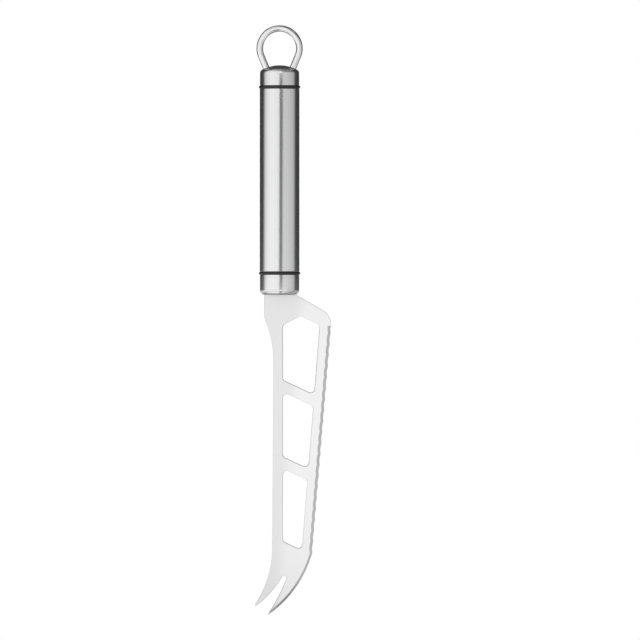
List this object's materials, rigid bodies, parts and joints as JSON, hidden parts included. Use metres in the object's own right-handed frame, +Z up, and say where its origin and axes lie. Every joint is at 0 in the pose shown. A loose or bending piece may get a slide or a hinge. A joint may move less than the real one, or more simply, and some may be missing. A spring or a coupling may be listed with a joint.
{
  "type": "cheese knife",
  "caption": "Cheese knife with a pierced, scalloped blade, a forked tip and a round metal handle that ends in a wire hanging loop.",
  "frame": {"origin": "centre of the hanging eye", "axes": "+Z up along the handle's axis towards the top of the hanging loop, so the knife hangs tip down; the blade lies in the XZ plane with its cutting edge on +X; Y is across the blade"},
  "size_m": [0.0342, 0.0186, 0.2649],
  "materials": {
    "polished_wire": "polished stainless wire",
    "brushed_cap": "brushed stainless",
    "brushed_tube": "brushed stainless",
    "black_ring": "black moulded, satin",
    "plug_plastic": "moulded, hidden inside",
    "pin_steel": "plain turned, hidden inside",
    "blade_steel": "fine satin, ground edge"
  },
  "bodies": {
    "root": {"hanging_loop": "polished_wire", "end_cap": "brushed_cap", "rear_ring": "black_ring", "rear_plug": "plug_plastic", "handle_tube": "brushed_tube", "front_ring": "black_ring", "front_cap": "brushed_cap", "tang_plug": "plug_plastic", "tang_pin": "pin_steel", "blade": "blade_steel"}
  },
  "joints": []
}
